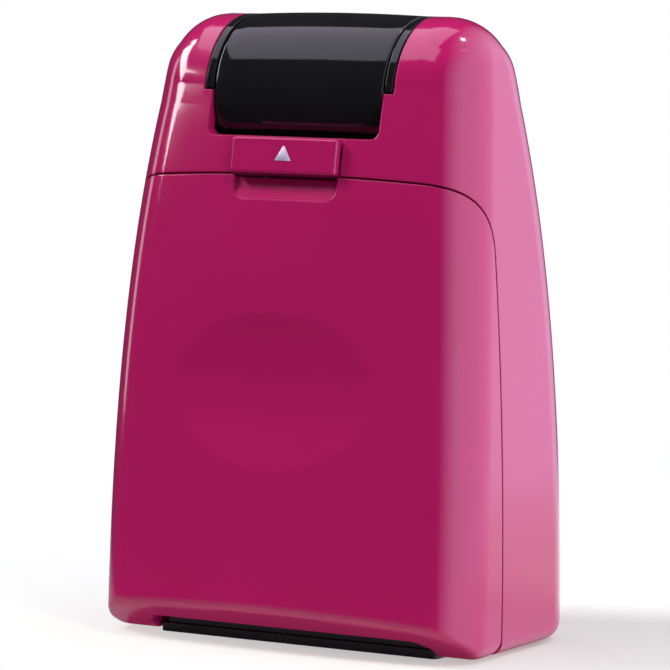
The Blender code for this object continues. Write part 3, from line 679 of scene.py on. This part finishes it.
def build_hood():
    """The curved panel, the carrier under it and the strips at its sides."""
    middle = PANEL_RADIUS - PANEL_THICKNESS / 2
    outline = divided(rounded(PANEL_HALF_WIDTH, PANEL_THICKNESS / 2, 0.28, 0.0, middle, 5), 2.0)
    profile = [(x, r - PANEL_CROWN * (x / PANEL_HALF_WIDTH) ** 2) for x, r in outline]
    panel = swept("hood_panel_skin", profile, HOOD_REAR, HOOD_FRONT, 150, BLACK_GLOSS, AXIS_Y, AXIS_Z)
    panel.data.set_sharp_from_angle(angle=math.radians(40.0))
    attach(panel, "hood")
    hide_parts("hood_panel")

    strip_end = 180.0 - math.degrees(math.asin((LEDGE_Z + GAP - AXIS_Z) / STRIP_RADIUS))
    profile = rounded(STRIP_INNER + 0.6, 0.4, 0.1, 0.0, SKIN_RADIUS - 0.4, 2)
    carrier = swept("hood_carrier_skin", profile, HOOD_REAR, HOOD_FRONT, 100, BLACK_SATIN, AXIS_Y, AXIS_Z)
    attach(carrier, "hood")
    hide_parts("hood_carrier")
    for side, sign in (("right", 1.0), ("left", -1.0)):
        outline = arc(AXIS_Y, AXIS_Z, STRIP_RADIUS, HOOD_REAR, strip_end, 96)
        outline += arc(AXIS_Y, AXIS_Z, SKIN_RADIUS, strip_end, HOOD_FRONT, 16)
        outline += arc(AXIS_Y, AXIS_Z, STRIP_HUB_RADIUS, HOOD_FRONT, 324.0, 14)
        hole = arc(AXIS_Y, AXIS_Z, STRIP_HOLE_RADIUS, 0.0, 360.0, 24)[:-1]
        strip = ring_slab(f"hood_strip_{side}", outline, hole, span((STRIP_INNER, STRIP_OUTER), sign))
        strip.data.materials.append(BLACK_GLOSS)
        soft_edges(strip, 0.18, 3)
        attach(strip, "hood")


# ---------------------------------------------------------------- rollers

def build_stamp_sleeve():
    """Rubber sleeve with a raised jumble of short bars, whose print hides what is under it."""
    relief, bore, margin = 0.32, 6.45, 0.9
    base = ROLLER_RADIUS - relief
    profile = rounded(ROLLER_HALF_WIDTH, (base - bore) / 2, 0.15, 0.0, (base + bore) / 2, 3)
    sleeve = swept("stamp_sleeve_skin", profile, 0.0, 360.0, 96, RUBBER, 0.0, ROLLER_Z)
    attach(sleeve, "stamp_roller")
    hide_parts("stamp_sleeve")

    rng = random.Random(7)
    bm = bmesh.new()
    rows, columns = 30, 20
    pitch_x = 2.0 * (ROLLER_HALF_WIDTH - 0.4) / columns
    limit = ROLLER_HALF_WIDTH - margin
    for row in range(rows):
        for column in range(columns):
            for _ in range(2):
                length = rng.uniform(0.7, 1.5)
                width = rng.uniform(0.22, 0.34)
                lean = rng.choice((0.0, 90.0, 45.0, -45.0))
                x = -ROLLER_HALF_WIDTH + margin + pitch_x * (column + rng.uniform(0.2, 0.7))
                angle = 2 * math.pi * (row + rng.uniform(0.2, 0.8)) / rows
                made = bmesh.ops.create_cube(bm, size=1.0)["verts"]
                local = Matrix.Diagonal((length, width, relief + 0.2, 1.0))
                spin = Matrix.Rotation(math.radians(lean), 4, "Z")
                lift = Matrix.Translation((min(max(x, -limit), limit), 0.0, base + relief / 2 - 0.11))
                about = Matrix.Translation((0, 0, ROLLER_Z)) @ Matrix.Rotation(angle, 4, "X")
                bmesh.ops.transform(bm, matrix=about @ lift @ spin @ local, verts=made)
    pattern = to_object("stamp_pattern", bm, RUBBER)
    pattern.data.shade_flat()
    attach(pattern, "stamp_roller")


def build_felt():
    """Felt sleeve with a slightly uneven, soft surface."""
    low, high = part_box("ink_felt")
    z = (low.z + high.z) / 2 / MM - LIFT
    outer = (high.z - low.z) / 2 / MM
    half = high.x / MM
    steps, bore, soft_end = 40, 3.85, 0.35
    line = [(half * (1.0 - 2.0 * k / steps), outer - 0.02) for k in range(steps + 1)]
    line[0], line[-1] = (half, outer - soft_end), (-half, outer - soft_end)
    profile = line + [(-half, bore), (half, bore)]
    felt = swept("ink_felt_skin", profile, 0.0, 360.0, 120, FELT, 0.0, z)
    cloud = bpy.data.textures.new("felt_cloud", "CLOUDS")
    cloud.noise_scale = 0.0012
    rough = felt.modifiers.new("uneven", "DISPLACE")
    rough.texture = cloud
    rough.strength = 0.00012
    rough.mid_level = 1.0
    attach(felt, "ink_roller")
    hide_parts("ink_felt")


# ---------------------------------------------------------------- CAD parts that stay

def dress_cad():
    """Finish the CAD meshes that stay, and soften the edges of the larger ones."""
    finishes = {"housing": MAGENTA, "hood_gloss": BLACK_GLOSS, "black_plastic": BLACK_SATIN,
                "inner_plastic": GREY_PLASTIC, "steel": STEEL, "stamp_rubber": RUBBER, "felt": FELT}
    for row in frame["record"]["subparts"]:
        obj = NODES[row["node"]]
        obj.data.materials.clear()
        obj.data.materials.append(finishes[row["material_slot"]])
    for name in ("foot", "cartridge_cheek_left", "cartridge_cheek_right", "side_plate_left",
                 "side_plate_right"):
        soft_edges(NODES[name], 0.18, 2, 40.0)


# ---------------------------------------------------------------- studio

def build_floor():
    """A pale floor under the stamp that fades into the white surroundings and can't be seen from below."""
    bm = bmesh.new()
    rows, columns, reach = 24, 72, 0.9
    middle = bm.verts.new((0.0, 0.0, 0.0))
    rings = []
    for row in range(1, rows + 1):
        radius = reach * (row / rows) ** 2
        turns = [2 * math.pi * k / columns for k in range(columns)]
        rings.append([bm.verts.new((radius * math.cos(a), radius * math.sin(a), 0.0)) for a in turns])
    for k in range(columns):
        j = (k + 1) % columns
        bm.faces.new((middle, rings[0][k], rings[0][j]))
        for inner, outer in zip(rings, rings[1:]):
            bm.faces.new((inner[k], outer[k], outer[j], inner[j]))
    mesh = bpy.data.meshes.new("floor")
    bm.to_mesh(mesh)
    bm.free()
    floor = bpy.data.objects.new("floor", mesh)
    bpy.context.scene.collection.objects.link(floor)
    floor.location = (0.03, 0.09, 0.0)
    fade_start, fade_end = 0.05, 0.16
    made = finish_material("pale_floor", ((0.86, 0.92, 0.76), (0.88, 0.94, 0.78)), (0.55, 0.65),
                           [(200.0, 0.02, 0.0005, EVEN)], specular=0.2)
    nodes, links = made.node_tree.nodes, made.node_tree.links
    length = nodes.new("ShaderNodeVectorMath")
    length.operation = "LENGTH"
    links.new(nodes.new("ShaderNodeTexCoord").outputs["Object"], length.inputs[0])
    clear = nodes.new("ShaderNodeBsdfTransparent")
    mix = nodes.new("ShaderNodeMixShader")
    unseen = nodes.new("ShaderNodeMath")
    unseen.operation = "MAXIMUM"
    fade = ranged(nodes, links, length.outputs["Value"], 0.0, 1.0, fade_start, fade_end)
    links.new(fade, unseen.inputs[0])
    links.new(nodes.new("ShaderNodeNewGeometry").outputs["Backfacing"], unseen.inputs[1])
    links.new(unseen.outputs[0], mix.inputs[0])
    links.new(nodes["Principled BSDF"].outputs[0], mix.inputs[1])
    links.new(clear.outputs[0], mix.inputs[2])
    links.new(mix.outputs[0], nodes["Material Output"].inputs["Surface"])
    floor.data.materials.append(made)


def area_light(name, where, target, size, power, across=(1.0, 0.0, 0.0), colour=(1.0, 1.0, 1.0)):
    light = bpy.data.lights.new(name, "AREA")
    light.shape = "RECTANGLE"
    light.size, light.size_y = size
    light.energy = power
    light.color = colour
    obj = bpy.data.objects.new(name, light)
    bpy.context.scene.collection.objects.link(obj)
    obj.location = where
    forward = (Vector(target) - Vector(where)).normalized()
    across = Vector(across) - forward * forward.dot(Vector(across))
    across.normalize()
    basis = Matrix((across, (-forward).cross(across), -forward)).transposed()
    obj.rotation_euler = basis.to_euler()
    return obj


def build_studio():
    """Surroundings that are bright to the right and behind, white for the camera, and lights.

    The soft lights shade the stamp without showing in its gloss; the shine lights only show in the gloss.
    """
    world = bpy.data.worlds.new("studio")
    bpy.context.scene.world = world
    world.use_nodes = True
    nodes, links = world.node_tree.nodes, world.node_tree.links
    nodes.clear()
    out = nodes.new("ShaderNodeOutputWorld")
    where = nodes.new("ShaderNodeTexCoord").outputs["Generated"]
    behind = nodes.new("ShaderNodeVectorMath")
    behind.operation = "DOT_PRODUCT"
    bright_side, dark, bright = Vector((0.92, 0.39, 0.0)), 0.03, 1.5
    behind.inputs[1].default_value = bright_side.normalized()
    links.new(where, behind.inputs[0])
    fade = ranged(nodes, links, behind.outputs["Value"], dark, bright, 0.15, 0.65)
    around = nodes.new("ShaderNodeBackground")
    around.inputs["Color"].default_value = (0.95, 0.93, 1.25, 1.0)
    links.new(fade, around.inputs["Strength"])
    seen = nodes.new("ShaderNodeBackground")
    seen.inputs["Color"].default_value = (1.0, 1.0, 1.0, 1.0)
    seen.inputs["Strength"].default_value = 1.0
    path = nodes.new("ShaderNodeLightPath")
    mix = nodes.new("ShaderNodeMixShader")
    links.new(path.outputs["Is Camera Ray"], mix.inputs[0])
    links.new(around.outputs[0], mix.inputs[1])
    links.new(seen.outputs[0], mix.inputs[2])
    links.new(mix.outputs[0], out.inputs["Surface"])

    middle = (0.0, 0.0, 0.045)
    warm, cool, cool_top = (1.0, 0.95, 0.92), (1.0, 0.93, 1.12), (1.0, 0.94, 1.15)
    soft = [area_light("key_right", (0.52, -0.26, 0.78), middle, (0.11, 0.11), 2.4, colour=warm),
            area_light("key_left", (-0.78, -0.33, 0.78), middle, (0.20, 0.30), 9.6, colour=cool),
            area_light("bounce", (0.0, -0.14, -0.30), (0.0, -0.01, 0.005), (0.4, 0.12), 0.7)]
    for light in soft:
        light.visible_glossy = False
    shine = [area_light("glint", (0.28, 0.18, 0.85), middle, (0.06, 0.06), 0.5),
             area_light("left_box", (-0.781, -0.215, 0.50), middle, (0.235, 0.70), 4.9)]
    for light in shine:
        light.visible_diffuse = False
    area_light("overhead", (-0.33, -0.11, 0.84), (-0.33, -0.11, 0.0), (0.78, 0.88), 3.2, colour=cool_top)
    area_light("left_strip", (-0.80, 0.03, 0.20), middle, (0.13, 0.40), 0.25, (0.0, 1.0, 0.0))


def build_camera():
    """The photographed view: a long lens, from the front right and slightly above."""
    yaw, pitch, distance = math.radians(31.57), math.radians(5.86), 0.6191
    target = Vector((0.000446, 0.0, 0.04294 + LIFT * MM))
    forward = Vector((-math.sin(yaw) * math.cos(pitch), math.cos(yaw) * math.cos(pitch), -math.sin(pitch)))
    data = bpy.data.cameras.new("camera")
    data.lens = 232.4
    data.sensor_width = 36.0
    data.clip_start, data.clip_end = 0.01, 20.0
    camera = bpy.data.objects.new("camera", data)
    bpy.context.scene.collection.objects.link(camera)
    camera.location = target - forward * distance
    camera.rotation_euler = forward.to_track_quat("-Z", "Y").to_euler()
    bpy.context.scene.camera = camera


dress_cad()
build_housing()
build_latch()
build_hood()
build_stamp_sleeve()
build_felt()
build_floor()
build_studio()
build_camera()
bpy.context.scene.view_settings.view_transform = "Standard"
